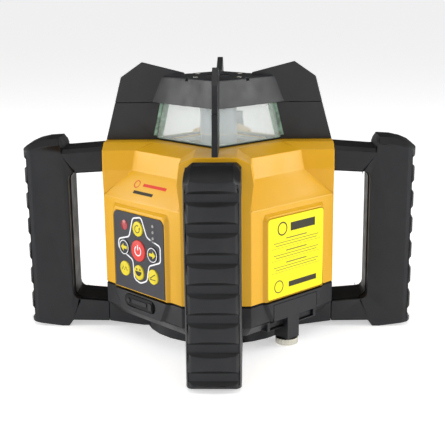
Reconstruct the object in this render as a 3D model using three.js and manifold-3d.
// Rotating laser level: a self-levelling spinning laser in a square housing with four loop handles.
// Millimetres, +Z up. The origin is on the spin axis, at the plane of the feet.
import * as THREE from 'three';
import { ConvexGeometry } from 'three/addons/geometries/ConvexGeometry.js';
import { mergeVertices } from 'three/addons/utils/BufferGeometryUtils.js';
import Module from 'manifold-3d';

const wasm = await Module();
wasm.setup();

// ---- driving dimensions ----
const REACH = 150;            // spin axis to the outermost point of a handle
const HALF_GRIP = 18.3;       // half the width of a handle
const CORNER = 87;            // spin axis to the cut-off corner of the housing
const FACE = 79;              // spin axis to a face of the housing
const PANEL = 81.5;           // spin axis to the raised panel on each face
const BASE_TOP = 38;          // top of the base moulding
const SHELL_BOTTOM = 39.2;    // bottom edge of the yellow shell
const DECK = 146;             // flat top of the shell, which carries the lantern
const WALL = 3;               // housing wall
const GAP = 0.3;              // gap between neighbouring pieces
// The shell's fold lines: height, and distance of the face and of the cut-off corner from the spin axis.
const CREASE = {
  foot: { z: 107.6, face: FACE, corner: CORNER },
  fold: { z: 126.7, face: 64.6, corner: 64.4 },
  top: { z: 141.3, face: 61.5, corner: 62 },
  deck: { z: DECK, face: 45, corner: 48.6 },
};
const LEDGE = 23;             // height where the base starts to draw in
const UNDERSIDE = 14;         // underside of the base around the central foot
const FOOT_RADIUS = 59;       // round foot in the middle of the underside
const PIVOT = 118;            // height of the levelling pivots
const EAVES = 174.6;          // lower edge of the lantern roof
const ROOF = 194.6;           // flat top of the lantern roof
const FIN_PEAK = 204.8;       // tips of the four fins
const FIN_HALF = 2.2;         // half the thickness of a fin
const GLASS = 4;              // thickness of a lantern pane
const HEAD_RADIUS = 14;       // spinning head
// Outer face of a handle across its width: how far the edges fall back, and the shape of the fall.
const CROWN = { drop: 7, round: 0.2, edge: 12, shares: [-1, -0.93, -0.8, -0.45, 0, 0.45, 0.8, 0.93, 1] };
const FINGERS = { wall: 114, floor: 23.4, roof: 122.4, radius: 4.5 };   // opening of a handle
const HUMP = { inner: 122, top: 149, brow: 140.8, chin: 136 };      // raised block on top of a handle
const RIDGE = { pitch: 20, flat: 8.9, bevel: 2.8, depth: 3.4, count: 7, first: 125.4 };
const KEY = { pitch: 16.5, middle: 72.3, small: 5.6, power: 8 };    // keypad grid and button radii
const TAU = 2 * Math.PI;

// ---- finishes ----
const finish = (color, roughness, metalness = 0) =>
  new THREE.MeshStandardMaterial({ color, roughness, metalness });
const BLACK = finish(0x3a3b3e, 0.6);
const YELLOW = finish(0xecb234, 0.45);
const GREY = finish(0x55565c, 0.6);
const STEEL = finish(0xb4b4a8, 0.35, 1);
const BRASS = finish(0xc8a860, 0.35, 1);
const ALUMINIUM = finish(0xa8acb0, 0.4, 1);
const CLEAR = finish(0xd7e4de, 0.05);
const RED = finish(0xe15550, 0.5);
const LEMON = finish(0xe1d23c, 0.5);
const RUBBER = finish(0x242426, 0.8);
const BOARD = finish(0x1f6b3a, 0.5);
const WHITE = finish(0xe8e8e4, 0.5);

// ---- from geometry to solids and back ----
function solidOf(geometry) {
  const bare = geometry.clone();
  bare.deleteAttribute('normal');
  bare.deleteAttribute('uv');
  const merged = mergeVertices(bare, 1e-4);
  return new wasm.Manifold(new wasm.Mesh({
    numProp: 3,
    vertProperties: new Float32Array(merged.attributes.position.array),
    triVerts: new Uint32Array(merged.index.array),
  }));
}

function geometryOf(solid) {
  const mesh = solid.getMesh();
  const geometry = new THREE.BufferGeometry();
  geometry.setAttribute('position', new THREE.BufferAttribute(new Float32Array(mesh.vertProperties), 3));
  geometry.setIndex(new THREE.BufferAttribute(new Uint32Array(mesh.triVerts), 1));
  geometry.computeVertexNormals();
  return geometry;
}

const join = (...solids) => solids.reduce((all, next) => all.add(next));
const cut = (solid, ...tools) => tools.reduce((rest, tool) => rest.subtract(tool), solid);
const turned = (solid, degrees) => solid.rotate([0, 0, degrees]);
const around = (solid, angles = [0, 90, 180, 270]) => join(...angles.map((angle) => turned(solid, angle)));

// ---- building blocks ----
function hull(points) {
  return solidOf(new ConvexGeometry(points.map(([x, y, z]) => new THREE.Vector3(x, y, z))));
}

function box(x0, x1, y0, y1, z0, z1) {
  const geometry = new THREE.BoxGeometry(x1 - x0, y1 - y0, z1 - z0);
  geometry.translate((x0 + x1) / 2, (y0 + y1) / 2, (z0 + z1) / 2);
  return solidOf(geometry);
}

// An outline in plan, from z0 up to z1.
function slab(outline, z0, z1) {
  const shape = outline instanceof THREE.Shape ? outline : new THREE.Shape(outline.map(([x, y]) =>
    new THREE.Vector2(x, y)));
  const geometry = new THREE.ExtrudeGeometry(shape,
    { depth: z1 - z0, bevelEnabled: false, curveSegments: 4 });
  geometry.translate(0, 0, z0);
  return solidOf(geometry);
}

// A side outline in X and Z, from y0 to y1.
function profile(outline, y0, y1) {
  return slab(outline, -y1, -y0).rotate([90, 0, 0]);
}

// Radius and height pairs turned about the Z axis.
function lathe(pairs, sides = 20) {
  const geometry = new THREE.LatheGeometry(pairs.map(([r, z]) => new THREE.Vector2(r, z)), sides);
  geometry.rotateX(Math.PI / 2);
  return solidOf(geometry);
}

const rod = (radius, z0, z1, sides = 20) => lathe([[0, z0], [radius, z0], [radius, z1], [0, z1]], sides);
const tube = (outer, inner, z0, z1, sides = 20) =>
  lathe([[inner, z0], [outer, z0], [outer, z1], [inner, z1], [inner, z0]], sides);

// A rod along Y, from y0 to y1.
const rodAlongY = (radius, y0, y1, sides = 16) => rod(radius, -y1, -y0, sides).rotate([90, 0, 0]);

function roundedRectangle(x0, x1, z0, z1, lower, upper) {
  const shape = new THREE.Shape();
  shape.moveTo(x0 + lower, z0);
  shape.lineTo(x1 - lower, z0);
  if (lower) shape.absarc(x1 - lower, z0 + lower, lower, -TAU / 4, 0);
  shape.lineTo(x1, z1 - upper);
  shape.absarc(x1 - upper, z1 - upper, upper, 0, TAU / 4);
  shape.lineTo(x0 + upper, z1);
  shape.absarc(x0 + upper, z1 - upper, upper, TAU / 4, TAU / 2);
  shape.lineTo(x0, z0 + lower);
  if (lower) shape.absarc(x0 + lower, z0 + lower, lower, TAU / 2, TAU * 0.75);
  return shape;
}

// A square whose faces look along the diagonals of X and Y, with its corners cut off at `corner`.
function clipped(face, corner, z) {
  const half = face * Math.SQRT2 - corner;
  const first = [[corner, half], [half, corner]];
  return [0, 1, 2, 3].flatMap((turn) => first.map(([x, y]) => {
    const angle = turn * TAU / 4;
    return [x * Math.cos(angle) - y * Math.sin(angle), x * Math.sin(angle) + y * Math.cos(angle), z];
  }));
}

// A sharp-cornered square with its faces looking along the diagonals.
const diamond = (face, z) => [[1, 0], [0, 1], [-1, 0],
  [0, -1]].map(([x, y]) => [x * face * Math.SQRT2, y * face * Math.SQRT2, z]);

// ---- the group and its sub-parts ----
const level = new THREE.Group();
const keypadSide = new THREE.Group();       // its -Y looks out of the keypad face
keypadSide.rotation.z = -Math.PI / 4;
const labelSide = new THREE.Group();        // its -Y looks out of the label and battery face
labelSide.rotation.z = Math.PI / 4;
level.add(keypadSide, labelSide);

function addPart(name, solid, material, parent = level) {
  const mesh = new THREE.Mesh(geometryOf(solid), material);
  mesh.name = name;
  parent.add(mesh);
  return mesh;
}

// ---- housing ----
const BAY = { half: 23.5, floor: 16, roof: 36, back: 20 };          // battery bay behind the label face
const LUG = { middle: -2.5, half: 6.2, depth: 13.5, bottom: 5.6 };  // block that holds the battery screw
const LABEL = { half: 29.4, bottom: 40.5, top: 100 };
const MEMBRANE = { half: 28.8, bottom: 40.5, top: 99.2 };
const PANEL_TOP = 101.5;      // top of the raised panel on the shell
const PORT = { left: -18, right: 17, bottom: 26.8, top: 36.2, socket: 7 };

// Raised panel on a face. It narrows towards its front, and in the base it draws in downwards.
function panelSolid(z0, z1, lowerHalf, upperHalf, cornerDrop) {
  const bevel = PANEL - FACE + 1;
  const ring = (grow, y) => {
    const points = [[-lowerHalf - grow, z0], [lowerHalf + grow, z0]];
    for (const side of [1, -1]) {
      const edge = [[upperHalf + grow, z1 - cornerDrop], [upperHalf + grow - cornerDrop, z1 + grow]];
      if (cornerDrop) points.push(...(side > 0 ? edge : edge.reverse().map(([x, z]) => [-x, z])));
      else points.push([side * (upperHalf + grow), z1]);
    }
    return points.map(([x, z]) => [x, y, z]);
  };
  return hull([...ring(0, -PANEL), ...ring(bevel, -PANEL + bevel)]);
}

function upperShell() {
  const { foot, fold, top, deck } = CREASE;
  const ring = ({ face, corner, z }, wall = 0, drop = 0) => clipped(face - wall, corner - wall, z - drop);
  const lower = hull([...clipped(FACE, CORNER, SHELL_BOTTOM), ...ring(foot), ...ring(fold)]);
  const upper = hull([...ring(fold), ...ring(top), ...ring(deck)]);
  const blockHalf = [[24.7, SHELL_BOTTOM], [24.7, foot.z], [27, fold.z], [25, top.z], [15, deck.z]];
  const block = [...blockHalf, ...blockHalf.map(([y, z]) => [-y, z]).reverse()];
  const blocks = join(...[0, 90].map((angle) => turned(profile(block, -CORNER, CORNER), angle)));
  const panels = around(panelSolid(SHELL_BOTTOM, PANEL_TOP, 30, 30, 2.5), [45, 135, 225, 315]);
  const slopeDrop = 1.5;
  const cavity = join(
    hull([...clipped(FACE - WALL, CORNER - WALL, SHELL_BOTTOM - 1), ...ring(foot, WALL, slopeDrop),
      ...ring(fold, WALL + 0.4, slopeDrop)]),
    hull([...ring(fold, WALL + 0.4, slopeDrop), ...ring(top, WALL + 0.2, WALL), ...ring(deck, 2, WALL)]));
  const well = hull([...diamond(30.5, DECK - 6), ...diamond(30.5, DECK + 1)]);
  const keypadRecess = slab(roundedRectangle(-MEMBRANE.half - GAP, MEMBRANE.half + GAP, SHELL_BOTTOM - 1,
    MEMBRANE.top + GAP, 0, 5), PANEL - 1, PANEL + 1).rotate([90, 0, 0]);
  const labelRecess = slab(roundedRectangle(-LABEL.half - GAP, LABEL.half + GAP, LABEL.bottom - GAP,
    LABEL.top + GAP, 2, 3), PANEL - 0.7, PANEL + 1).rotate([90, 0, 0]);
  const holes = keypadHoles(-PANEL - 1, -FACE + 8);
  return cut(join(lower, upper, blocks, panels), cavity, well, turned(join(keypadRecess, holes), -45),
    turned(labelRecess, 45));
}

const baseBody = hull([...clipped(FACE, CORNER, BASE_TOP), ...clipped(FACE, CORNER, LEDGE),
  ...clipped(70, 78, UNDERSIDE)]);
const basePanel = panelSolid(LEDGE, BASE_TOP, 22.5, 30, 0);
const SCREW_RADIUS = 66;      // spin axis to the screws that close the housing

function baseMoulding() {
  const boss = tube(FOOT_RADIUS, 15, 0, UNDERSIDE + 2, 28);
  const rib = hull([[CORNER, 4.4], [60, 0.6], [52, 0.6], [52, 26],
    [CORNER, 26]].flatMap(([x, z]) => [[x, -HALF_GRIP, z], [x, HALF_GRIP, z]]));
  const panels = around(basePanel, [45, 135, 225, 315]);
  const cavity = hull([...clipped(FACE - WALL, CORNER - WALL, BASE_TOP + 1),
    ...clipped(FACE - WALL, CORNER - WALL, LEDGE + 1),
    ...clipped(66, 74, UNDERSIDE + WALL)]);
  const bayWalls = box(-BAY.half - WALL, BAY.half + WALL, -FACE + WALL - 2, -BAY.back + WALL, UNDERSIDE + 1,
    BASE_TOP);
  const bay = box(-BAY.half, BAY.half, -FACE - 20, -BAY.back, BAY.floor, BAY.roof);
  const lugSlot = box(LUG.middle - LUG.half - GAP, LUG.middle + LUG.half + GAP, -FACE - 10,
    -PANEL + LUG.depth + GAP, -1, BAY.floor + 1);
  const bushSeat = rod(15, -1, UNDERSIDE - 0.5);
  const screwHoles = around(join(rod(2, -1, BASE_TOP + 2, 12),
    rod(4.2, -1, 5, 16)).translate([0, SCREW_RADIUS, 0]));
  const pillars = around(tube(5, 1.9, 5.5, BASE_TOP, 16).translate([0, SCREW_RADIUS, 0]));
  const portRecess = slab(capsule(PORT.left - GAP, PORT.right + GAP, PORT.bottom - GAP, PORT.top + GAP),
    PANEL - 3, PANEL + 2).rotate([90, 0, 0]);
  const socketHole = rodAlongY(4.6, -PANEL - 1,
    -FACE + 10).translate([PORT.socket, 0, (PORT.bottom + PORT.top) / 2]);
  const shell = cut(join(baseBody, boss, around(rib), panels), cavity);
  return cut(join(shell, turned(bayWalls, 45), pillars), turned(join(bay, lugSlot), 45), bushSeat,
    screwHoles,
    turned(join(portRecess, socketHole), -45));
}

function capsule(x0, x1, z0, z1) {
  const radius = (z1 - z0) / 2;
  const shape = new THREE.Shape();
  shape.moveTo(x0 + radius, z0);
  shape.lineTo(x1 - radius, z0);
  shape.absarc(x1 - radius, z0 + radius, radius, -TAU / 4, TAU / 4);
  shape.lineTo(x0 + radius, z1);
  shape.absarc(x0 + radius, z0 + radius, radius, TAU / 4, TAU * 0.75);
  return shape;
}

// ---- keypad ----
const indicator = { s: -16, z: KEY.middle + 17, radius: 3 };
const lights = { s: 17, z: KEY.middle + 16.8, half: 2, rise: 6.5 };
const buttons = [
  { name: 'speed_button', column: 0, row: 1, radius: KEY.small, material: LEMON },
  { name: 'left_button', column: -1, row: 0, radius: KEY.small, material: LEMON },
  { name: 'power_button', column: 0, row: 0, radius: KEY.power, material: RED },
  { name: 'right_button', column: 1, row: 0, radius: KEY.small, material: LEMON },
  { name: 'scan_button', column: -1, row: -1, radius: KEY.small, material: LEMON },
  { name: 'tilt_button', column: 0, row: -1, radius: KEY.small, material: LEMON },
  { name: 'slope_button', column: 1, row: -1, radius: KEY.small, material: LEMON },
].map((button) => ({ ...button, s: button.column * KEY.pitch, z: KEY.middle + button.row * KEY.pitch }));

// Clearance holes for the keys, the indicator and the row of lights.
function keypadHoles(y0, y1) {
  const keys = buttons.map(({ s, z, radius }) => rodAlongY(radius + GAP, y0, y1).translate([s, 0, z]));
  const dot = rodAlongY(indicator.radius + GAP, y0, y1).translate([indicator.s, 0, indicator.z]);
  const half = lights.half + GAP;
  const rise = lights.rise + GAP;
  return join(...keys, dot, box(lights.s - half, lights.s + half, y0, y1, lights.z - rise,
    lights.z + rise));
}

addPart('upper_shell', upperShell(), YELLOW);
addPart('base_moulding', baseMoulding(), BLACK);

const gasketOuter = hull([...clipped(FACE - 0.6, CORNER - 0.6, BASE_TOP + GAP),
  ...clipped(FACE - 0.6, CORNER - 0.6, SHELL_BOTTOM - GAP)]);
const gasketInner = hull([...clipped(FACE - 2.8, CORNER - 2.8, BASE_TOP),
  ...clipped(FACE - 2.8, CORNER - 2.8, SHELL_BOTTOM)]);
addPart('body_gasket', cut(gasketOuter, gasketInner), RUBBER);

const membrane = slab(roundedRectangle(-MEMBRANE.half, MEMBRANE.half, MEMBRANE.bottom, MEMBRANE.top, 0,
  4.7), PANEL - 0.7, PANEL + 0.1).rotate([90, 0, 0]);
addPart('keypad_membrane', cut(membrane, keypadHoles(-PANEL - 2, -PANEL + 2)), GREY, keypadSide);
for (const { name, s, z, radius, material } of buttons) {
  const cap = join(rodAlongY(radius, -PANEL - 0.8, -FACE + 5),
    rodAlongY(radius + 1.1, -FACE + 3.4, -FACE + 5));
  addPart(name, cap.translate([s, 0, z]), material, keypadSide);
}
addPart('indicator_lens', rodAlongY(indicator.radius, -PANEL - 0.3, -FACE + 5,
  16).translate([indicator.s, 0, indicator.z]), RED, keypadSide);
addPart('status_lights', box(lights.s - lights.half, lights.s + lights.half, -PANEL - 0.1, -FACE + 5,
  lights.z - lights.rise, lights.z + lights.rise), GREY, keypadSide);

addPart('label_plate', slab(roundedRectangle(-LABEL.half, LABEL.half, LABEL.bottom, LABEL.top, 1.7, 2.7),
  PANEL - 0.4, PANEL + 0.1).rotate([90, 0, 0]), LEMON, labelSide);

// ---- charging port ----
const cover = slab(capsule(PORT.left, PORT.right, PORT.bottom, PORT.top), PANEL - 2.7,
  PANEL + 0.2).rotate([90, 0, 0]);
const nailNotch = box(PORT.right - 3, PORT.right + 1, -PANEL - 1, -PANEL + 1.4, PORT.bottom - 1,
  PORT.top + 1);
addPart('port_cover', cut(cover, nailNotch), RUBBER, keypadSide);
const socketHeight = (PORT.bottom + PORT.top) / 2;
addPart('charging_socket', cut(rodAlongY(4.3, -PANEL + 3.3, -FACE + 14),
  rodAlongY(3, -PANEL, -FACE + 12)).translate([PORT.socket, 0, socketHeight]), BLACK, keypadSide);

// ---- handles ----
// Height of the outer face's outline, from the top of the hump down over the ridges to the foot.
function handleOutline() {
  const points = [[CORNER + GAP, 143], [116.5, 140.7], [119, 140.7], [HUMP.inner, HUMP.top],
    [132, 148.4], [140, 146.6], [146, 144], [REACH, HUMP.brow], [REACH, HUMP.chin]];
  for (let ridge = 0; ridge < RIDGE.count; ridge += 1) {
    const top = RIDGE.first - ridge * RIDGE.pitch;
    const above = ridge === 0 ? HUMP.chin : top + RIDGE.pitch - RIDGE.flat;
    points.push([REACH - RIDGE.depth, above - RIDGE.bevel], [REACH - RIDGE.depth, top + RIDGE.bevel],
      [REACH, top]);
    if (ridge < RIDGE.count - 1) points.push([REACH, top - RIDGE.flat]);
  }
  points.push([REACH - 2, 3.2], [125, 0], [119.5, 0], [116, 4.8], [CORNER + GAP, 4.4]);
  return points;
}

function openingOutline() {
  const { wall, floor, roof, radius } = FINGERS;
  const corners = (z, from) => [0, 1, 2, 3].map((step) => {
    const angle = (from + step * 30) * Math.PI / 180;
    return [wall - radius + radius * Math.cos(angle), z + radius * Math.sin(angle)];
  });
  return [[CORNER + GAP, floor - 1.9], ...corners(floor + radius, -90), ...corners(roof - radius, 0),
    [CORNER + GAP, roof + 1.2]];
}

// Cuts the long edge between an outline and the side faces, `inward` across and `down` into the piece.
function edgeCut(path, inward, down) {
  const reach = 1;
  const normals = path.map(([x, z], index) => {
    const [x0, z0] = path[Math.max(0, index - 1)];
    const [x1, z1] = path[Math.min(path.length - 1, index + 1)];
    const length = Math.hypot(x1 - x0, z1 - z0);
    return [-(z1 - z0) / length, (x1 - x0) / length];
  });
  const section = (index, side) => [[reach, HALF_GRIP - inward - reach * inward / down],
    [reach, HALF_GRIP + reach],
    [-down - reach * down / inward, HALF_GRIP + reach]].map(([out, y]) =>
    [path[index][0] + out * normals[index][0], side * y, path[index][1] + out * normals[index][1]]);
  const pieces = [];
  for (let index = 0; index + 1 < path.length; index += 1) {
    for (const side of [1, -1]) pieces.push(hull([...section(index, side), ...section(index + 1, side)]));
  }
  return join(...pieces);
}

function handle() {
  const body = profile([...handleOutline(), ...openingOutline()], -HALF_GRIP, HALF_GRIP);
  const crown = CROWN.shares.map((across) => {
    const drop = CROWN.drop * (CROWN.round * across ** 2 + (1 - CROWN.round) * across ** CROWN.edge);
    return [REACH - drop, across * HALF_GRIP];
  });
  const plan = slab([[CORNER, -HALF_GRIP], ...crown, [CORNER, HALF_GRIP]], -1, HUMP.top + 10);
  const outline = handleOutline();
  const armTop = [outline[0], outline[1]].map(([x, z], index) => [x - 1 + 4 * index, z]);
  const hump = [[HUMP.inner - 1, HUMP.top], ...outline.slice(4, 8), [REACH + 3, HUMP.chin + 0.8]];
  const opening = openingOutline();
  const armUnder = [opening.at(-2), opening.at(-1)].map(([x, z], index) => [x - index, z]);
  const grip = opening.slice(1, -1);
  const armLower = [opening[0], opening[1]].map(([x, z], index) => [x - 1 + index, z]);
  const flip = (path) => [...path].reverse();
  return cut(body.intersect(plan), edgeCut(armTop, 3, 3), edgeCut(hump, 5, 4.5),
    edgeCut(flip(armUnder), 2.4, 2.4),
    edgeCut(flip(armLower), 2.6, 2.6), edgeCut(flip(grip), 7, 8));
}
const handleSolid = handle();
['right', 'back', 'left', 'front'].forEach((side, index) =>
  addPart(`handle_${side}`, turned(handleSolid, index * 90), BLACK));

// ---- lantern ----
const GLASS_FOOT = { face: 34.9, z: 147.2 };
const GLASS_HEAD = { face: 30.3, z: 176 };
const glassFace = (z) => THREE.MathUtils.mapLinear(z, GLASS_FOOT.z, GLASS_HEAD.z, GLASS_FOOT.face,
  GLASS_HEAD.face);
const finOuter = (z) => THREE.MathUtils.mapLinear(z, DECK, 193.7, 86.6, 74);

const besideGlass = (z) => [(glassFace(z) + 0.4) * Math.SQRT2 + 0.6, z];
const post = profile([[36, DECK + GAP], [finOuter(DECK), DECK + GAP], [finOuter(EAVES), EAVES - GAP],
  besideGlass(EAVES - GAP), besideGlass(DECK + 3), [36, DECK + 2]], -FIN_HALF, FIN_HALF);
const SILL = { outer: 35.6, inner: 29.6, top: GLASS_FOOT.z - GAP };
const sill = cut(hull([...diamond(SILL.outer, DECK + GAP), ...diamond(SILL.outer, SILL.top)]),
  hull([...diamond(SILL.inner, DECK - 1), ...diamond(SILL.inner, SILL.top + 1)]));
const glassPocket = hull([...diamond(GLASS_FOOT.face + GAP, SILL.top),
  ...diamond(glassFace(EAVES + 1) + GAP, EAVES + 1)]);
// A tongue on each post that stands in a groove under the roof's fin.
const TONGUE = { inner: 54, outer: 76, rise: 2, half: 0.8 };
const tongue = profile([[TONGUE.inner, EAVES - 2], [TONGUE.outer, EAVES - 2],
  [TONGUE.outer, EAVES + TONGUE.rise],
  [TONGUE.inner, EAVES + TONGUE.rise]], -TONGUE.half, TONGUE.half);
addPart('lantern_frame', join(cut(around(post), glassPocket), sill, around(tongue)), BLACK);

for (let index = 0; index < 4; index += 1) {
  const ends = [GLASS_FOOT, GLASS_HEAD].flatMap(({ face, z }) => [[face, face - 0.5],
    [face - GLASS, face - GLASS - 0.5]]
    .flatMap(([depth, half]) => [[-half, -depth, z], [half, -depth, z]]));
  addPart(`window_glass_${index + 1}`, turned(hull(ends), -45 + index * 90), CLEAR);
}

const roofOuter = hull([...diamond(37, EAVES), ...diamond(31.6, ROOF - 0.8), ...diamond(30.8, ROOF)]);
const roofInner = hull([...diamond(GLASS_HEAD.face + 1, EAVES - 1),
  ...diamond(GLASS_HEAD.face + 0.5, GLASS_HEAD.z + 1), ...diamond(26.3, 179), ...diamond(25, 190)]);
const groove = profile([[TONGUE.inner - GAP, EAVES - 1], [TONGUE.outer + GAP, EAVES - 1],
  [TONGUE.outer + GAP, EAVES + TONGUE.rise + GAP],
  [TONGUE.inner - GAP, EAVES + TONGUE.rise + GAP]], -TONGUE.half - GAP, TONGUE.half + GAP);
const capFin = cut(profile([[finOuter(EAVES), EAVES], [74, 193.7], [58, FIN_PEAK], [26, 196.7],
  [24, ROOF - 1.2],
  [40, ROOF - 2], [44, EAVES + 2], [50, EAVES]], -FIN_HALF, FIN_HALF), groove);
const zenithHole = rod(8.3, 180, FIN_PEAK, 24);
const notches = around(box(-1.4, 1.4, -34, -29.8, ROOF - 2.2, ROOF + 1), [45, 135, 225, 315]);
addPart('lantern_cap', join(cut(roofOuter, roofInner, zenithHole, notches),
  around(cut(capFin, roofInnerClear()))), BLACK);

function roofInnerClear() {
  return join(hull([...diamond(30.5, EAVES - 1), ...diamond(26, 190)]), rod(9, 180, FIN_PEAK + 1, 24));
}
addPart('zenith_window', lathe([[0, 189.4], [8, 189.4], [8, 193.4], [0, 193.4]], 20), CLEAR);

const SHIELD = { face: 30, z: 143.5, thickness: 1.5, hole: 22 };
addPart('dust_shield', cut(hull([...diamond(SHIELD.face, SHIELD.z),
  ...diamond(SHIELD.face, SHIELD.z + SHIELD.thickness)]),
  rod(SHIELD.hole, SHIELD.z - 1, SHIELD.z + 3)), WHITE);

// ---- chassis inside the housing ----
const CHASSIS = { outer: 60, inner: 49.5, deck: 41, deckHole: 22, leg: 53 };
const PIN = 2.5;              // radius of the levelling pivots
const PIN_HOLE = 2.9;
const ACTUATOR = 32;          // spin axis to each levelling motor

function chassis() {
  const ring = tube(CHASSIS.outer, CHASSIS.inner, PIVOT - 7, PIVOT + 7, 28);
  const deck = tube(CHASSIS.outer, CHASSIS.deckHole, CHASSIS.deck, CHASSIS.deck + WALL, 28);
  const leg = box(-6, 6, CHASSIS.leg, CHASSIS.outer - 1, CHASSIS.deck, PIVOT - 6);
  const foot = box(-7, 7, CHASSIS.leg, SCREW_RADIUS + 6, BASE_TOP + GAP, BASE_TOP + 5);
  const footHole = rod(2, BASE_TOP - 1, BASE_TOP + 8, 12).translate([0, SCREW_RADIUS, 0]);
  const pinHole = rodAlongY(PIN_HOLE, -CHASSIS.outer - 1, CHASSIS.outer + 1,
    16).rotate([0, 0, 90]).translate([0, 0, PIVOT]);
  return cut(join(ring, deck, around(join(leg, foot))), around(footHole), pinHole);
}
addPart('chassis', chassis(), ALUMINIUM);

for (let index = 0; index < 4; index += 1) {
  const screw = lathe([[0, 2.4], [3.8, 2.4], [3.8, 4.7], [1.6, 4.7], [1.6, BASE_TOP + 5],
    [0, BASE_TOP + 5]], 12);
  addPart(`housing_screw_${index + 1}`, turned(screw.translate([0, SCREW_RADIUS, 0]), index * 90), STEEL);
}
addPart('tripod_bush', lathe([[7.15, 0.3], [14.6, 0.3], [14.6, 13.2], [0, 13.2], [0, 11], [7.15, 11],
  [7.15, 0.3]], 20), BRASS);

const BOARD_PLATE = { half: 27, bottom: 45, top: 97, face: 69, thickness: 1.6 };
const spacers = [-25, 25].flatMap((s) => [47,
  95].map((z) => rodAlongY(2, -75.7, -BOARD_PLATE.face - 1, 12).translate([s, 0, z])));
addPart('main_board', join(box(-BOARD_PLATE.half, BOARD_PLATE.half,
  -BOARD_PLATE.face - BOARD_PLATE.thickness, -BOARD_PLATE.face,
  BOARD_PLATE.bottom, BOARD_PLATE.top), box(-12, 2, -BOARD_PLATE.face - 0.5, -BOARD_PLATE.face + 2, 60, 74),
    ...spacers), BOARD, keypadSide);

// ---- levelling gimbal and its motors ----
const RING = { outer: 46, inner: 37, half: 4.5 };
const gimbalPins = join(...[1, -1].map((side) =>
  rodAlongY(PIN, side > 0 ? 45.5 : -56, side > 0 ? 56 : -45.5, 16))).rotate([0, 0, 90]).translate([0, 0,
  PIVOT]);
const cradlePinHoles = rodAlongY(PIN_HOLE, -RING.outer - 1, RING.outer + 1, 16).translate([0, 0, PIVOT]);
addPart('gimbal_ring', join(cut(tube(RING.outer, RING.inner, PIVOT - RING.half, PIVOT + RING.half, 28),
  cradlePinHoles), gimbalPins), ALUMINIUM);

const ARM = { z: 97, tip: 36 };
for (const [name, x, y] of [['x', 0, -ACTUATOR], ['y', -ACTUATOR, 0]]) {
  const motor = lathe([[0, 44.3], [9, 44.3], [9, 70], [4, 70], [4, 74], [2.4, 74], [2.4, 52], [0, 52]], 20);
  addPart(`levelling_motor_${name}`, motor.translate([x, y, 0]), GREY);
  const plunger = lathe([[0, 58], [2, 58], [2, 91], [3, 92], [3, 94], [2, 95.6], [0, 96.1]], 16);
  addPart(`levelling_plunger_${name}`, plunger.translate([x, y, 0]), STEEL);
}

// ---- cradle with the laser ----
const BARREL = { outer: 17, bearing: 13.9, top: 133.5, bottom: 96 };
const MOTOR = { x: 27, radius: 7.5, top: BARREL.top - 4.3 };
function cradle() {
  const barrel = rod(BARREL.outer, BARREL.bottom, BARREL.top);
  const arms = join(box(-ARM.tip, -12, -4, 4, ARM.z, ARM.z + 3.6),
    box(-4, 4, -ARM.tip, -12, ARM.z, ARM.z + 3.6));
  const shelf = box(10, 36, -9, 9, BARREL.top - 4, BARREL.top);
  const pins = rodAlongY(PIN, -43, 43, 16).translate([0, 0, PIVOT]);
  const bores = join(rod(BARREL.bearing, 119, BARREL.top + 1), rod(7, 100, 125), rod(12, 90, 112),
    rod(3, 125, 140, 12).translate([MOTOR.x, 0, 0]));
  return cut(join(barrel, arms, shelf, pins), bores);
}
addPart('cradle', cradle(), ALUMINIUM);
addPart('laser_tube', lathe([[0, 60], [11.6, 60], [11.6, 111.6], [8.5, 111.6], [8.5, 75], [0, 75]], 20),
  BRASS);
addPart('collimator_lens', lathe([[0, 104], [8, 105], [8, 108], [0, 109]], 20), CLEAR);
addPart('lower_bearing', tube(13.6, 9.3, 119.4, 125.4), STEEL);
addPart('upper_bearing', tube(13.6, 9.3, 126.6, 132.6), STEEL);
addPart('level_sensor_x', rodAlongY(3, -9, 9, 16).translate([-20.6, 0, 104.6]), CLEAR);
addPart('level_sensor_y', rodAlongY(3, -9, 9, 16).rotate([0, 0, 90]).translate([0, -20.6, 104.6]), CLEAR);
addPart('spin_motor', lathe([[0, 108], [MOTOR.radius, 108], [MOTOR.radius, MOTOR.top], [1.4, MOTOR.top],
  [1.4, 118], [0, 118]], 20).translate([MOTOR.x, 0, 0]), STEEL);

// ---- spinning head and its belt drive ----
const PULLEY = { z0: 134, z1: 138, flange: 0.6, big: 15, small: 5 };
const grooved = (inner, radius, extra) => [...extra, [radius + 1, PULLEY.z0],
  [radius + 1, PULLEY.z0 + PULLEY.flange], [radius, PULLEY.z0 + PULLEY.flange],
  [radius, PULLEY.z1 - PULLEY.flange], [radius + 1, PULLEY.z1 - PULLEY.flange], [radius + 1, PULLEY.z1],
    [inner, PULLEY.z1]];
addPart('motor_pulley', lathe(grooved(0, PULLEY.small, [[0, 119], [1, 119], [1, PULLEY.z0]]),
  20).translate([MOTOR.x, 0, 0]), BLACK);
addPart('head_pulley', lathe([...grooved(9.3, PULLEY.big, [[9.3, PULLEY.z0]]), [9.3, PULLEY.z0]], 20),
  BLACK);

const circlePoints = (x, radius, z, count = 24) => Array.from({ length: count }, (_, step) =>
  [x + radius * Math.cos(step / count * TAU), radius * Math.sin(step / count * TAU), z]);
const beltLoop = (extra, z0, z1) => hull([z0,
  z1].flatMap((z) => [...circlePoints(0, PULLEY.big + extra, z, 20),
  ...circlePoints(MOTOR.x, PULLEY.small + extra, z, 12)]));
addPart('drive_belt', cut(beltLoop(1.2, PULLEY.z0 + 0.9, PULLEY.z1 - 0.9),
  beltLoop(0.4, PULLEY.z0, PULLEY.z1)), RUBBER);
addPart('encoder_disc', tube(20, 9.3, 138.4, 139.6), WHITE);

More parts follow.
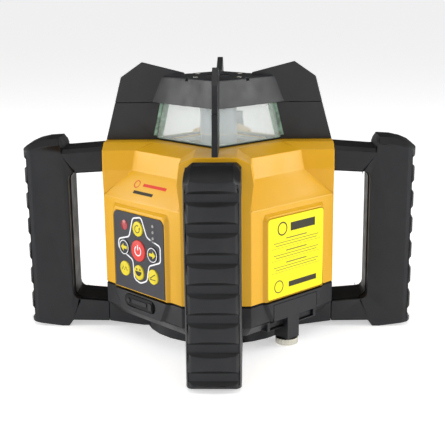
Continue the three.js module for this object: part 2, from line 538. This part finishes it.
const HEAD = { bottom: 140.2, top: 186, window: 163, spout: 18.5 };
function spinningHead() {
  const body = lathe([[0, 119], [9, 119], [9, HEAD.bottom], [HEAD_RADIUS, HEAD.bottom],
    [HEAD_RADIUS, HEAD.top - 2], [HEAD_RADIUS - 2, HEAD.top], [0, HEAD.top]], 20);
  const spout = box(8, HEAD.spout, -3.2, 3.2, HEAD.window - 4.5, HEAD.window + 4.5);
  const beam = rod(5.5, 110, 160, 20);
  const prismRoom = rod(10.4, 155, 173, 24);
  const exit = rodAlongY(2, -30, 0, 12).rotate([0, 0, 90]).translate([0, 0, HEAD.window]);
  const zenith = rod(3, 165, 200, 12);
  return cut(join(body, spout), beam, prismRoom, exit, zenith);
}
addPart('spinning_head', spinningHead(), GREY);
const prismSection = [[-6.5, 156.4], [3, 156.4], [6.5, 163], [3, 169.6], [-6.5, 171.6]];
addPart('penta_prism', profile(prismSection, -5.5, 5.5), CLEAR);

// ---- battery drawer ----
function batteryDrawer() {
  const faced = join(turned(baseBody, -45),
    basePanel).intersect(box(-BAY.half + GAP, BAY.half - GAP, -FACE - 20, -74.8, BAY.floor + GAP,
    BAY.roof - GAP));
  const lug = join(box(LUG.middle - LUG.half, LUG.middle + LUG.half, -PANEL, -PANEL + LUG.depth, LUG.bottom,
    BAY.floor + 1.6),
    box(LUG.middle - LUG.half, LUG.middle + LUG.half, -PANEL, -75, BAY.floor, LEDGE + 1));
  const tray = cut(box(-BAY.half + GAP, BAY.half - GAP, -76, -BAY.back - 2.2, BAY.floor + GAP, 32),
    box(-BAY.half + 2.3, BAY.half - 2.3, -74.8, -BAY.back - 3.6, BAY.floor + 1.6, 40));
  const screwHole = rod(2.7, 0, 17, 16).translate([LUG.middle, -PANEL + LUG.depth / 2, 0]);
  return cut(join(faced, lug, tray), screwHole);
}
addPart('battery_drawer', batteryDrawer(), BLACK, labelSide);
for (const [index, side] of [-1, 1].entries()) {
  addPart(`battery_cell_${index + 1}`, rodAlongY(8.5, -74.4, -24.2,
    24).translate([side * 10.2, 0, BAY.floor + 10.4]), GREY, labelSide);
}
addPart('battery_contacts', box(-12, 12, -BAY.back - 1.7, -BAY.back - GAP, 20, 32), BRASS, labelSide);

const KNURL = { outer: 8.5, inner: 8.1, teeth: 20 };
const knurlOutline = Array.from({ length: 2 * KNURL.teeth }, (_, step) => {
  const radius = step % 2 ? KNURL.inner : KNURL.outer;
  const angle = step / (2 * KNURL.teeth) * TAU;
  return [radius * Math.cos(angle), radius * Math.sin(angle)];
});
addPart('battery_thumbscrew', join(slab(knurlOutline, 0.6, 5.2),
  rod(2.3, 5, 16.4, 16)).translate([LUG.middle, -PANEL + LUG.depth / 2, 0]), STEEL, labelSide);

export default level;
